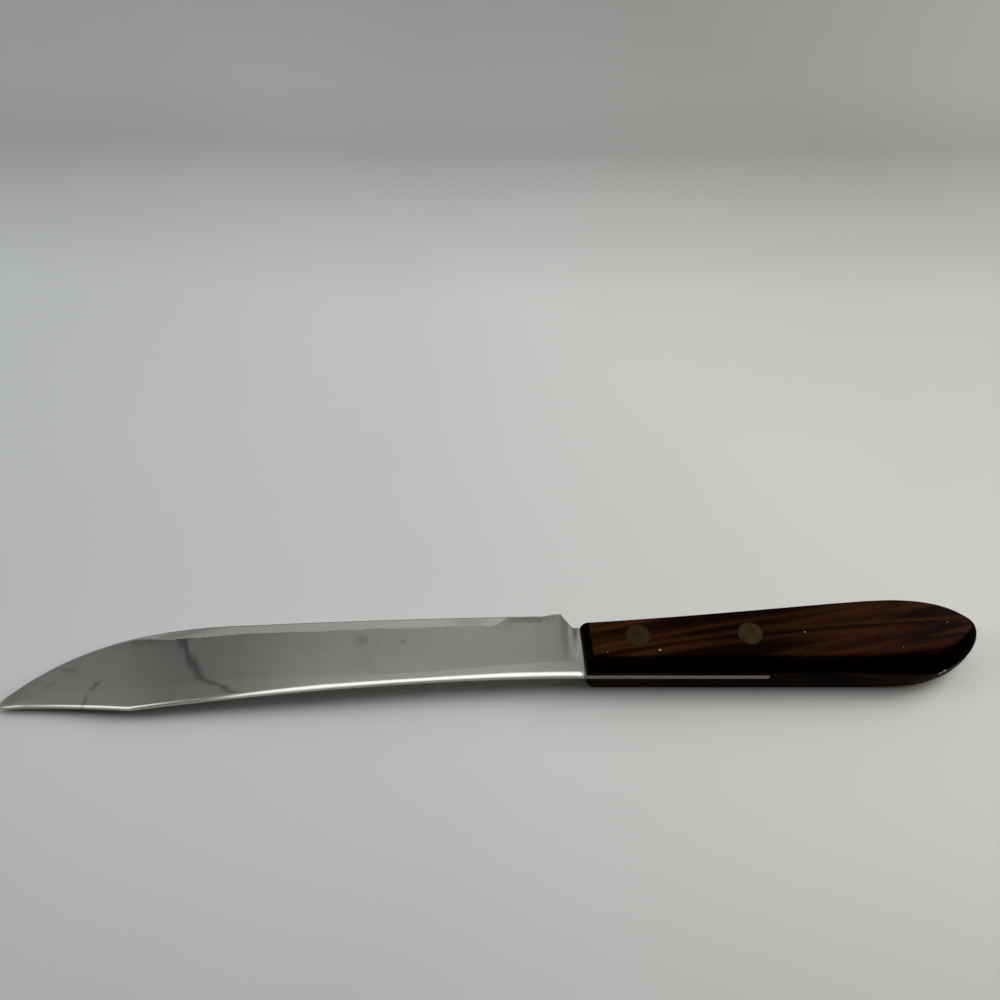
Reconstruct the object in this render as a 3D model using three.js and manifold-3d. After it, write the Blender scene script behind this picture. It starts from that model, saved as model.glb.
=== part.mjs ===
// Butcher pattern kitchen knife: a taper ground steel blade whose half tang sits in a saw slot
// in a one-piece rosewood handle, clamped by two pairs of compression rivets.
// Millimetres, +Z up. The knife lies on its side: tip towards -X, spine towards -Y, edge towards +Y.
// Below, x runs from the front of the handle (tip side negative), y is the depth below the handle's
// spine line, and z is measured from the middle plane of the blade.
import * as THREE from 'three';
import { mergeVertices } from 'three/addons/utils/BufferGeometryUtils.js';
import Module from 'manifold-3d';

// Blade outline
const bladeLength = 190;
const tipRise = 11.1;
const humpDistance = 146;
const humpRise = 11.6;
const spineLevelLength = 62;
const clipHollow = 1;
const tipAngle = 48;
const tipRun = 27;
const sweepDistance = 115;
const sweepDepth = 19.1;
const sweepRun = 36;
const edgeMiddleDistance = 55;
const edgeMiddleDepth = 22.1;

// Heel: the last stretch of edge is left unsharpened and stands a little proud
const heelStepDistance = 13;
const heelDepth = 22.7;
const heelStepRun = 4;
const heelStepDepth = 0.9;
const heelLandLength = 2.2;
const heelSlopeRun = 3.9;
const neckDepth = 18.1;

// Blade section
const stockThickness = 2.2;
const tipThickness = 1.2;
const crownWidth = 2.2;
const crownAtHump = 1.1;
const crownDrop = 0.31;
const crownRunOut = 3;
const bandAtHandle = 5.2;
const bandAtMiddle = 3.2;
const bandAtHump = 6.5;
const grindThickness = 0.75;
const edgeThickness = 0.12;
const edgeBevelWidth = 3;
const edgeBevelAtTip = 1.2;
const edgeBevelAtHeel = 0.5;
const edgeBevelRunOutStart = 20;
const edgeBevelRunOutEnd = 10;
const grindRunOut = 11;
const widestBevelShare = 0.25;
const thickestShoulderShare = 0.8;

// Half tang and its slot
const tangLength = 60.5;
const slotClearance = 0.05;
const slotEndClearance = 0.4;

// Handle
const handleLength = 131.2;
const handleThickness = 17.5;
const handleFrontDepth = 17.4;
const handlePalmDepth = 26.1;
const handlePalmFromButt = 28;
const handleFrontRise = 3.4;
const handleFrontRun = 50;
const handlePalmRun = 14;
const handleFrontSlant = 1.6;
const handleCornerRound = 0.6;
const buttDepth = 15.2;
const buttBellyRun = 15;
const buttBellyPull = 6.6;
const buttSpinePull = 6.4;
const buttSpineRun = 7;
const buttSpineLength = 19.4;

// Handle bevels: steep all round, wider along the upper spine side and slight along the lower one
const bevelDrop = 7;
const bevelInset = 2.1;
const upperSpineInset = 3.35;
const lowerSpineInset = 0.7;
const buttInset = 3.4;
const bevelSwell = 2.3;
const bevelSwellStart = 46;
const bevelSwellEnd = 19;
const sharpCornerAngle = 30;
const upperBlendStart = 0.1;
const upperBlendEnd = 0.6;
const lowerBlendStart = 0.94;
const lowerBlendEnd = 1;

// Compression rivets: a tubular half from the upper side and a solid half from the lower side
const frontRivetDistance = 17.5;
const frontRivetDepth = 10.7;
const rearRivetFromTangEnd = 6.3;
const rearRivetDepth = 11.4;
const rivetHeadDiameter = 7.94;
const rivetHeadThickness = 2;
const rivetTubeDiameter = 4.76;
const rivetPinDiameter = 3.18;
const rivetClearance = 0.05;
const rivetEndGap = 0.6;
const rivetSides = 40;

// Mesh fineness
const firstRingDistance = 0.5;
const clipSteps = 10;
const sweepSteps = 22;
const edgeSteps = 22;
const heelSteps = 4;
const tangSteps = 12;
const curveSteps = 24;
const frontCornerSteps = 8;
const swellSteps = 6;
const halvings = 40;
const weldDistance = 1e-4;

const { lerp, smoothstep, degToRad } = THREE.MathUtils;
const point = (x, y) => new THREE.Vector2(x, y);

const wasm = await Module();
wasm.setup();

// A closed geometry as a solid that can be cut
function toSolid(geometry) {
  const bare = geometry.index ? geometry.toNonIndexed() : geometry.clone();
  bare.deleteAttribute('normal');
  bare.deleteAttribute('uv');
  const merged = mergeVertices(bare, weldDistance);
  const vertProperties = new Float32Array(merged.attributes.position.array);
  const triVerts = new Uint32Array(merged.index.array);
  return new wasm.Manifold(new wasm.Mesh({ numProp: 3, vertProperties, triVerts }));
}

function toGeometry(solid) {
  const mesh = solid.getMesh();
  const geometry = new THREE.BufferGeometry();
  geometry.setAttribute('position', new THREE.BufferAttribute(mesh.vertProperties, 3));
  geometry.setIndex(new THREE.BufferAttribute(mesh.triVerts, 1));
  geometry.computeVertexNormals();
  return geometry;
}

// Evenly spaced values from start up to, but without, end
function spread(start, end, count) {
  return Array.from({ length: count }, (unused, i) => lerp(start, end, i / count));
}

// Depth of a curve that runs steadily along x, found by halving
function depthOn(curve, x) {
  let low = 0;
  let high = 1;
  for (let i = 0; i < halvings; i++) {
    const middle = (low + high) / 2;
    if (curve.getPoint(middle).x < x) low = middle;
    else high = middle;
  }
  return curve.getPoint((low + high) / 2).y;
}

// Handle outline seen from above, shared by the tang that is ground flush with it
const palm = point(handleLength - handlePalmFromButt, handlePalmDepth);
const butt = point(handleLength, buttDepth);
const bellyStart = point(0, handleFrontDepth);
const bellyLine = new THREE.CubicBezierCurve(
  bellyStart,
  point(handleFrontRun, handleFrontDepth + handleFrontRise),
  point(palm.x - handlePalmRun, handlePalmDepth),
  palm,
);

function handleOutline() {
  const frontX = (y) => handleFrontSlant * (0.5 - y / handleFrontDepth);
  const corner = point(frontX(handleFrontDepth), handleFrontDepth);
  const alongFront = point(frontX(0), 0).sub(corner).normalize();
  const alongBelly = point(handleFrontRun, handleFrontRise).normalize();
  const halfAngle = Math.acos(alongFront.dot(alongBelly)) / 2;
  const cornerRadius = bevelInset + handleCornerRound;
  const tangentLength = cornerRadius / Math.tan(halfAngle);
  const inward = alongFront.clone().add(alongBelly).normalize();
  const centre = corner.clone().addScaledVector(inward, cornerRadius / Math.sin(halfAngle));
  const bellyTouch = corner.clone().addScaledVector(alongBelly, tangentLength);
  const frontTouch = corner.clone().addScaledVector(alongFront, tangentLength);
  const arcStart = Math.atan2(bellyTouch.y - centre.y, bellyTouch.x - centre.x);
  const arcEnd = arcStart + Math.PI - 2 * halfAngle;
  const shape = new THREE.Shape();
  shape.moveTo(frontX(0), 0);
  for (const x of spread(handleLength - bevelSwellStart, handleLength - buttSpineLength, swellSteps)) {
    shape.lineTo(x, 0);
  }
  shape.lineTo(handleLength - buttSpineLength, 0);
  shape.bezierCurveTo(
    handleLength - buttSpineLength + buttSpineRun, 0,
    handleLength, buttDepth - buttSpinePull,
    butt.x, butt.y,
  );
  shape.bezierCurveTo(
    handleLength, buttDepth + buttBellyPull,
    palm.x + buttBellyRun, handlePalmDepth,
    palm.x, palm.y,
  );
  for (const x of spread(palm.x, bellyTouch.x, curveSteps).slice(1)) shape.lineTo(x, depthOn(bellyLine, x));
  for (const angle of spread(arcStart, arcEnd, frontCornerSteps)) {
    shape.lineTo(centre.x + cornerRadius * Math.cos(angle), centre.y + cornerRadius * Math.sin(angle));
  }
  shape.lineTo(frontTouch.x, frontTouch.y);
  return shape.getPoints(curveSteps);
}

// Bevel width by place and by the way inwards, which is +y at the spine and -x at the butt
function upperInset(place, inward) {
  const bySpine = lerp(bevelInset, upperSpineInset, smoothstep(inward.y, upperBlendStart, upperBlendEnd));
  const byButt = lerp(bevelInset, buttInset, smoothstep(-inward.x, upperBlendStart, upperBlendEnd));
  const fromButt = handleLength - place.x;
  const swell = bevelSwell * (1 - smoothstep(fromButt, bevelSwellEnd, bevelSwellStart));
  return Math.max(bySpine, byButt) + swell * Math.max(inward.y, 0) ** 2;
}

function lowerInset(place, inward) {
  return lerp(bevelInset, lowerSpineInset, smoothstep(inward.y, lowerBlendStart, lowerBlendEnd));
}

// The outline moved inwards, side by side, each side by its own bevel width
function insetOutline(outline, insetFor) {
  const inwards = outline.map((start, i) => {
    const along = outline[(i + 1) % outline.length].clone().sub(start).normalize();
    return point(-along.y, along.x);
  });
  const insets = inwards.map((inward, i) => insetFor(outline[i], inward));
  const sharp = Math.cos(degToRad(sharpCornerAngle));
  return outline.map((corner, i) => {
    const before = (i + outline.length - 1) % outline.length;
    const [a, b] = [inwards[before], inwards[i]];
    if (a.dot(b) > sharp) {
      const inset = (insets[before] + insets[i]) / 2;
      return corner.clone().addScaledVector(a.clone().add(b).normalize(), inset);
    }
    const turn = a.cross(b);
    return point(
      corner.x + (insets[before] * b.y - insets[i] * a.y) / turn,
      corner.y + (insets[i] * a.x - insets[before] * b.x) / turn,
    );
  });
}

// Blade outline
const tip = point(-bladeLength, -tipRise);
const hump = point(-humpDistance, -humpRise);
const sweep = point(-sweepDistance, sweepDepth);
const heelStep = point(-heelStepDistance, heelDepth);
const edgeMiddle = point(-edgeMiddleDistance, edgeMiddleDepth);
const tipDirection = point(Math.cos(degToRad(tipAngle)), Math.sin(degToRad(tipAngle)));
const sweepDirection = edgeMiddle.clone().sub(sweep).normalize();
const clipMiddle = tip.clone().add(hump).multiplyScalar(0.5).add(point(0, clipHollow));
const clipCurve = new THREE.QuadraticBezierCurve(tip, clipMiddle, hump);
const spineCurve = new THREE.QuadraticBezierCurve(hump, point(-spineLevelLength, 0), point(0, 0));
const sweepCurve = new THREE.CubicBezierCurve(
  tip,
  tip.clone().addScaledVector(tipDirection, tipRun),
  sweep.clone().addScaledVector(sweepDirection, -sweepRun),
  sweep,
);
const edgeCurve = new THREE.QuadraticBezierCurve(sweep, edgeMiddle, heelStep);
const heelLand = point(heelStep.x + heelStepRun, heelDepth + heelStepDepth);
const heelCorner = point(heelLand.x + heelLandLength, heelLand.y);
const neckStart = point(heelCorner.x + heelSlopeRun, neckDepth);

function spineAt(x) {
  if (x < hump.x) return depthOn(clipCurve, x);
  return x < 0 ? depthOn(spineCurve, x) : 0;
}

function edgeAt(x) {
  if (x >= 0) return depthOn(bellyLine, x);
  if (x < sweep.x) return depthOn(sweepCurve, x);
  if (x < heelStep.x) return depthOn(edgeCurve, x);
  if (x < heelLand.x) return lerp(heelStep.y, heelLand.y, (x - heelStep.x) / heelStepRun);
  if (x < heelCorner.x) return heelLand.y;
  if (x < neckStart.x) return lerp(heelCorner.y, neckStart.y, (x - heelCorner.x) / heelSlopeRun);
  return lerp(neckStart.y, handleFrontDepth, (x - neckStart.x) / -neckStart.x);
}

// Width of the flat band along the spine, above the grind
function bandAt(x, width) {
  if (x < hump.x) return (bandAtHump * width) / (edgeAt(hump.x) - hump.y);
  if (x < edgeMiddle.x) return lerp(bandAtHump, bandAtMiddle, smoothstep(x, hump.x, edgeMiddle.x));
  return lerp(bandAtMiddle, bandAtHandle, smoothstep(x, edgeMiddle.x, 0));
}

// Width of the sharpened bevel, which narrows towards the tip and runs out before the heel
function edgeBevelAt(x) {
  const fromTip = lerp(edgeBevelAtTip, edgeBevelWidth, smoothstep(x, tip.x, hump.x));
  const runOutStart = heelStep.x - edgeBevelRunOutStart;
  return lerp(fromTip, edgeBevelAtHeel, smoothstep(x, runOutStart, heelStep.x - edgeBevelRunOutEnd));
}

// One cross section, from the spine over the upper face to the edge and back under the lower face
function bladeSection(x) {
  const spine = spineAt(x);
  const edge = edgeAt(x);
  const width = edge - spine;
  const half = Math.min(lerp(tipThickness, stockThickness, 1 - x / tip.x), stockThickness) / 2;
  const runOut = smoothstep(x, heelStep.x, heelStep.x + grindRunOut);
  const band = bandAt(x, width);
  const crown = lerp(crownAtHump, crownWidth, smoothstep(x, hump.x, -spineLevelLength));
  const drop = (crownDrop * (1 - smoothstep(x, -crownRunOut, 0)) * crown) / crownWidth;
  const bevel = Math.min(edgeBevelAt(x), width * widestBevelShare);
  const shoulder = lerp(Math.min(grindThickness / 2, half * thickestShoulderShare), half, runOut);
  const blunt = lerp(edgeThickness / 2, half, runOut);
  const upper = [
    [spine, half - drop],
    [spine + Math.min(crown, band / 2), half],
    [spine + band, half],
    [edge - bevel, shoulder],
    [edge, blunt],
  ];
  const lower = upper.map(([y, z]) => [y, -z]).reverse();
  return [...upper, ...lower].map(([y, z]) => [x, y, z]);
}

// Skin over rings of points of equal count, closed by a fan at each end
function loft(rings, startCentre, endCentre) {
  const count = rings[0].length;
  const positions = [...rings.flat(2), ...startCentre, ...endCentre];
  const startIndex = rings.length * count;
  const endIndex = startIndex + 1;
  const index = [];
  for (let j = 0; j < count; j++) {
    const next = (j + 1) % count;
    for (let i = 0; i + 1 < rings.length; i++) {
      const a = i * count + j;
      const b = i * count + next;
      index.push(a, a + count, b, b, a + count, b + count);
    }
    const last = (rings.length - 1) * count;
    index.push(startIndex, j, next, endIndex, last + next, last + j);
  }
  const geometry = new THREE.BufferGeometry();
  geometry.setAttribute('position', new THREE.Float32BufferAttribute(positions, 3));
  geometry.setIndex(index);
  return geometry;
}

function cylinder(diameter, bottom, top, [x, y]) {
  const geometry = new THREE.CylinderGeometry(diameter / 2, diameter / 2, top - bottom, rivetSides);
  return geometry.rotateX(Math.PI / 2).translate(x, y, (bottom + top) / 2);
}

// Rivet places and heights, shared by the holes and the rivets
const rivetPlaces = {
  front: [frontRivetDistance, frontRivetDepth],
  rear: [tangLength - rearRivetFromTangEnd, rearRivetDepth],
};
const faceHeight = handleThickness / 2;
const headSeat = faceHeight - rivetHeadThickness;
const tubeHole = rivetTubeDiameter + 2 * rivetClearance;
const headHole = rivetHeadDiameter + 2 * rivetClearance;
const pinHole = rivetPinDiameter + 2 * rivetClearance;

function bladeGeometry() {
  const firstRing = tip.x + firstRingDistance;
  const stations = [
    ...spread(firstRing, hump.x, clipSteps),
    ...spread(hump.x, sweep.x, sweepSteps - clipSteps),
    ...spread(sweep.x, heelStep.x, edgeSteps),
    ...spread(heelStep.x, heelLand.x, heelSteps),
    ...spread(heelLand.x, heelCorner.x, heelSteps),
    ...spread(heelCorner.x, neckStart.x, heelSteps),
    ...spread(neckStart.x, 0, heelSteps),
    ...spread(0, tangLength, tangSteps),
    tangLength,
  ];
  const rings = stations.map(bladeSection);
  const tangEnd = [tangLength, edgeAt(tangLength) / 2, 0];
  let solid = toSolid(loft(rings, [tip.x, tip.y, 0], tangEnd));
  for (const place of Object.values(rivetPlaces)) {
    solid = solid.subtract(toSolid(cylinder(tubeHole, -stockThickness, stockThickness, place)));
  }
  return toGeometry(solid);
}

function handleGeometry() {
  const outline = handleOutline();
  const wallTop = faceHeight - bevelDrop;
  const rings = [
    insetOutline(outline, upperInset).map(({ x, y }) => [x, y, faceHeight]),
    outline.map(({ x, y }) => [x, y, wallTop]),
    outline.map(({ x, y }) => [x, y, -wallTop]),
    insetOutline(outline, lowerInset).map(({ x, y }) => [x, y, -faceHeight]),
  ];
  const faceMiddle = [handleLength / 2, handleFrontDepth / 2];
  let solid = toSolid(loft(rings, [...faceMiddle, faceHeight], [...faceMiddle, -faceHeight]));

  const slotThickness = stockThickness + 2 * slotClearance;
  const slotStart = -handleFrontSlant;
  const slotEnd = tangLength + slotEndClearance;
  const slotDepth = 2 * handlePalmDepth;
  const slot = new THREE.BoxGeometry(slotEnd - slotStart, slotDepth, slotThickness);
  slot.translate((slotStart + slotEnd) / 2, handlePalmDepth / 2, 0);
  solid = solid.subtract(toSolid(slot));

  for (const place of Object.values(rivetPlaces)) {
    solid = solid.subtract(toSolid(cylinder(tubeHole, -handleThickness, handleThickness, place)));
    solid = solid.subtract(toSolid(cylinder(headHole, headSeat, handleThickness, place)));
    solid = solid.subtract(toSolid(cylinder(headHole, -handleThickness, -headSeat, place)));
  }
  return toGeometry(solid);
}

// Revolved half rivet: its profile gives radius and height from the axis outwards
function revolve(profile, [x, y]) {
  const lathe = new THREE.LatheGeometry(profile.map(([r, z]) => point(r, z)), rivetSides);
  lathe.rotateX(Math.PI / 2).translate(x, y, 0);
  return toGeometry(toSolid(lathe));
}

// Tubular half: flush head above, tube down through the tang
function tubeRivetGeometry(place) {
  const tubeEnd = -headSeat + rivetEndGap;
  const boreTop = headSeat;
  return revolve([
    [0, boreTop],
    [pinHole / 2, boreTop],
    [pinHole / 2, tubeEnd],
    [rivetTubeDiameter / 2, tubeEnd],
    [rivetTubeDiameter / 2, headSeat],
    [rivetHeadDiameter / 2, headSeat],
    [rivetHeadDiameter / 2, faceHeight],
    [0, faceHeight],
  ], place);
}

// Solid half: flush head below, pin up inside the tube
function pinRivetGeometry(place) {
  const pinEnd = headSeat - rivetEndGap;
  return revolve([
    [0, -faceHeight],
    [rivetHeadDiameter / 2, -faceHeight],
    [rivetHeadDiameter / 2, -headSeat],
    [rivetPinDiameter / 2, -headSeat],
    [rivetPinDiameter / 2, pinEnd],
    [0, pinEnd],
  ], place);
}

const knife = new THREE.Group();

function addPiece(name, geometry, finish) {
  const mesh = new THREE.Mesh(geometry, new THREE.MeshStandardMaterial(finish));
  mesh.name = name;
  knife.add(mesh);
}

const polishedSteel = { color: 0x9a9c98, roughness: 0.22, metalness: 1 };
const rosewood = { color: 0x3c2014, roughness: 0.35, metalness: 0 };
const agedBrass = { color: 0x7d6c40, roughness: 0.45, metalness: 1 };

addPiece('blade', bladeGeometry(), polishedSteel);
addPiece('handle', handleGeometry(), rosewood);
for (const [name, place] of Object.entries(rivetPlaces)) {
  addPiece(`${name}_rivet_tube`, tubeRivetGeometry(place), agedBrass);
  addPiece(`${name}_rivet_pin`, pinRivetGeometry(place), agedBrass);
}

// The origin goes to the middle of the outline, at the level of the handle's lower side
const box = new THREE.Box3().setFromObject(knife);
const middle = box.getCenter(new THREE.Vector3());
knife.position.set(-middle.x, -middle.y, -box.min.z);

export default knife;
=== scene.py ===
import math

import bmesh
import bpy
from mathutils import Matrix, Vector, noise


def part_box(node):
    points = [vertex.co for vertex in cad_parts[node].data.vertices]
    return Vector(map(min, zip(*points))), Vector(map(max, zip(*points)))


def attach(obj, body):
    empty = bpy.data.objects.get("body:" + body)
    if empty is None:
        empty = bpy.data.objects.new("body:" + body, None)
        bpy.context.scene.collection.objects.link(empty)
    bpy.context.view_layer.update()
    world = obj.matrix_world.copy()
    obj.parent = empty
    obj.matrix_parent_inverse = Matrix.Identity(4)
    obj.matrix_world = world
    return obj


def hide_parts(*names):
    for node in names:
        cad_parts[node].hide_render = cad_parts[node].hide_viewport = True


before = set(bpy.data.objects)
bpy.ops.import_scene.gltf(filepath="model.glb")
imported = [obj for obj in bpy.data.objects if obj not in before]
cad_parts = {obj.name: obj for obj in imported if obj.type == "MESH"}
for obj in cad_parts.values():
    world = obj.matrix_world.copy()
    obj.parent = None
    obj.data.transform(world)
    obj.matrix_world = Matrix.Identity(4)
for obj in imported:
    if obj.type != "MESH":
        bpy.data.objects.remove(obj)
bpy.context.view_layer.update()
handleLow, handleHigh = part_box("handle")
mm = 0.001
weldDistance = 1e-7  # metres, joins points that were made twice
curveHalvings = 30  # steps in the search for a point on a curve
print("frame loaded")


# Node and colour helpers

def colour(hexText):
    parts = [int(hexText[i:i + 2], 16) / 255 for i in (0, 2, 4)]
    linear = [p / 12.92 if p <= 0.04045 else ((p + 0.055) / 1.055) ** 2.4 for p in parts]
    return (*linear, 1)


def grey(level):
    return (level, level, level, 1)


def greys(table):
    return [(position, grey(level)) for position, level in table]


def perMm(size):
    return 1 / (size * mm)  # texture scale whose features are about this many millimetres


def wire(tree, node, inputs):
    for key, value in inputs.items():
        if isinstance(value, bpy.types.NodeSocket):
            tree.links.new(value, node.inputs[key])
        else:
            node.inputs[key].default_value = value


def addNode(tree, kind, inputs=None, stops=None, **settings):
    node = tree.nodes.new(kind)
    for name, value in settings.items():
        setattr(node, name, value)
    wire(tree, node, inputs or {})
    if stops:
        elements = node.color_ramp.elements
        elements[0].position, elements[1].position = stops[0][0], stops[-1][0]
        for position, tone in stops[1:-1]:
            elements.new(position)
        for element, (position, tone) in zip(elements, stops):
            element.color = tone
    return node


def newMaterial(name):
    material = bpy.data.materials.new(name)
    material.use_nodes = True
    return material, material.node_tree, material.node_tree.nodes["Principled BSDF"]


# The knife's own axes in mm: x from the handle's front (tip side negative),
# y the depth below the handle's spine line, z from the middle plane of the blade

handleShape = {
    "length": 131.2,
    "thickness": 17.5,
    "frontDepth": 17.4,
    "frontSlant": 1.6,
    "palmDepth": 26.1,
    "palmFromButt": 28,
    "frontRise": 3.4,
    "frontRun": 50,
    "palmRun": 14,
    "buttDepth": 15.2,
    "buttBellyRun": 15,
    "buttBellyPull": 6.6,
    "buttSpinePull": 6.4,
    "buttSpineRun": 7,
    "buttSpineLength": 19.4,
    "bevelDrop": 7,
    "bevelInset": 2.1,  # front and belly
    "upperSpineInset": 3.35,
    "lowerSpineInset": 0.7,
    "buttInset": 3.4,
    "upperTurn": (0.1, 0.6),  # between these an inset goes over to the spine's or the butt's,
    "lowerTurn": (0.94, 1),  # as the side turns to face that way
    "bevelSwell": 2.3,
    "bevelSwellStart": 46,
    "bevelSwellEnd": 19,
    "lowerSwell": 1.5,
    "lowerSwellStart": 36,
    "lowerSwellEnd": 12,
    "cornerRound": 0.6,
    "wallRound": 0.6,
    "faceSoftness": 0.9,  # sanded roundness of the edges
    "wallSoftness": 0.8,
    "bevelFullness": 0.2,  # how far the middle of a bevel stands out, as a share of its width
    "frontSoftness": 0.5,
    "cornerReach": 4,  # the bevels of the front corner end within this
    "softSteps": 6,
    "slotThickness": 2.3,
    "slotLength": 60.9,
    "curveSteps": 80,
    "flatArea": 1,  # square mm, a larger face counts as a flat
    "flatAngle": 3,  # degrees, the border of a flat is shaded sharp from here,
    "edgeAngle": 30,  # and any other edge from here
}

h = handleShape
frontX = handleHigh.x - h["length"] * mm
spineY = handleLow.y
middleZ = (handleLow.z + handleHigh.z) / 2


def place(x, y, z):
    return Vector((frontX + x * mm, spineY + y * mm, middleZ + z * mm))


def onCurve(points, t):
    points = [Vector(p) for p in points]
    while len(points) > 1:
        points = [a.lerp(b, t) for a, b in zip(points, points[1:])]
    return points[0]


def depthAt(points, x):
    low, high = 0.0, 1.0
    for halving in range(curveHalvings):
        middle = (low + high) / 2
        if onCurve(points, middle).x < x:
            low = middle
        else:
            high = middle
    return onCurve(points, (low + high) / 2).y


def blend(start, end, share):
    return start + (end - start) * share


def easeBetween(x, start, end):
    t = min(max((x - start) / (end - start), 0), 1)
    return t * t * (3 - 2 * t)


def newPiece(name, mesh, material):
    mesh.materials.clear()
    mesh.materials.append(material)
    piece = bpy.data.objects.new(name, mesh)
    bpy.context.scene.collection.objects.link(piece)
    return piece


def meshFrom(name, bm):
    bmesh.ops.remove_doubles(bm, verts=bm.verts, dist=weldDistance)
    bmesh.ops.recalc_face_normals(bm, faces=bm.faces)
    mesh = bpy.data.meshes.new(name)
    bm.to_mesh(mesh)
    bm.free()
    return mesh


def settle(piece):
    # turns a piece and its modifiers into one plain mesh
    depsgraph = bpy.context.evaluated_depsgraph_get()
    mesh = bpy.data.meshes.new_from_object(piece.evaluated_get(depsgraph))
    piece.modifiers.clear()
    piece.data = mesh
    mesh.name = piece.name
    return piece


def cut(piece, cutters):
    for cutter in cutters:
        modifier = piece.modifiers.new("cut", "BOOLEAN")
        modifier.operation = "DIFFERENCE"
        modifier.solver = "EXACT"
        modifier.object = cutter
    settle(piece)
    for cutter in cutters:
        bpy.data.objects.remove(cutter)


# Rivets: their sizes and places, which the holes in the tang and the handle follow

rivetShape = {
    "headDiameter": 7.94,
    "headThickness": 2,
    "tubeDiameter": 4.76,
    "boreDiameter": 3.28,
    "pinDiameter": 3.18,
    "dimpleDiameter": 0.636,  # a small centre mark in the end of the pin
    "clearance": 0.05,
    "endGap": 0.6,
    "crown": 0.02,
    "sides": 64,
    "flatNormal": 0.9,  # a face with more than this share of its normal upright is flat
}


def rivetPlaces():
    found = []
    for node in ("front_rivet_tube", "rear_rivet_tube"):
        low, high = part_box(node)
        middle = (low + high) / 2
        found.append(((middle.x - frontX) / mm, (middle.y - spineY) / mm))
    return found


def cylinderCutter(diameter, bottom, top, x, y):
    bm = bmesh.new()
    radius = diameter / 2 * mm
    bmesh.ops.create_cone(
        bm, cap_ends=True, segments=rivetShape["sides"], radius1=radius, radius2=radius,
        depth=(top - bottom) * mm)
    bmesh.ops.translate(bm, verts=bm.verts, vec=place(x, y, (bottom + top) / 2))
    cutter = bpy.data.objects.new("cutter", meshFrom("cutter", bm))
    bpy.context.scene.collection.objects.link(cutter)
    return cutter


# Polished stainless steel: sheet that was ground thin and buffed, so it is a soft mirror
# with faint lengthwise lines, finger marks, a dried drop, a coarser stone-ground edge and painted shade
# along the very edge

steelFinish = {
    "metal": "c2c4bd",
    "stain": "94958f",
    "groundEdge": "cccec8",
    "tang": "8f8782",
    "mark": "3c3d3a",
    "edgeShadeLine": "55564f",
    "roughness": 0.025,
    "cleanBy": 0.01,  # smudges leave it this much smoother to this much rougher
    "smudgedBy": 0.02,
    "groundRoughness": 0.3,
    "spineCoarseness": 2,  # the land of the spine is ground this much coarser than the edge
    "lineWidth": 0.35,  # polishing lines are finer than this, drawn coarser so that they show
    "lineStretch": 0.02,
    "lineStrength": 0.008,
    "lineDepth": 0.05,
    "scratchWidth": 0.22,
    "scratchStretch": 0.06,
    "scratchTurn": 62,  # degrees, as the stone crosses the edge
    "scratchOnFace": 0.004,
    "scratchOnEdge": 0.25,
    "scratchDepth": 0.05,
    "waveSize": 38,  # slow unevenness of the hand-held polish
    "waveStrength": 0.12,
    "waveDepth": 0.6,
    "smudgeSize": 16,
    "smudgeRange": (0.35, 0.75),
    "stainRange": (0.5, 0.8),
    "stainStrength": 0.25,
    "raggedSize": 1,
    "raggedness": 1.6,
    "markRange": (1.75, 1.05),  # a mark's ragged border, from clear to full, in half sizes
    # x, y, half length, half width, turn in degrees and strength: a dried drop, dots and smears
    "marks": [
        (-73.4, 13.3, 3, 2.9, 0, 0.22), (-59.7, 12.9, 1.4, 1.2, 0, 0.3),
        (-168.4, 2.2, 4.4, 1, -4, 0.25), (-158.4, -3.4, 4, 1.1, 58, 0.4),
        (-160.6, -9.2, 3.4, 0.9, 80, 0.4), (-173, -3, 3, 1, 40, 0.15),
        (-28.2, 18.1, 4, 0.5, -32, 0.2), (-24.6, 18.6, 3, 0.4, -38, 0.15),
        (-18, 21.5, 12, 2.4, 1, 0.42), (-38, 20.4, 9, 2.2, 0, 0.2),
        (-136, 15.3, 22, 2.4, 14, 0.32)],
}


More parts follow.
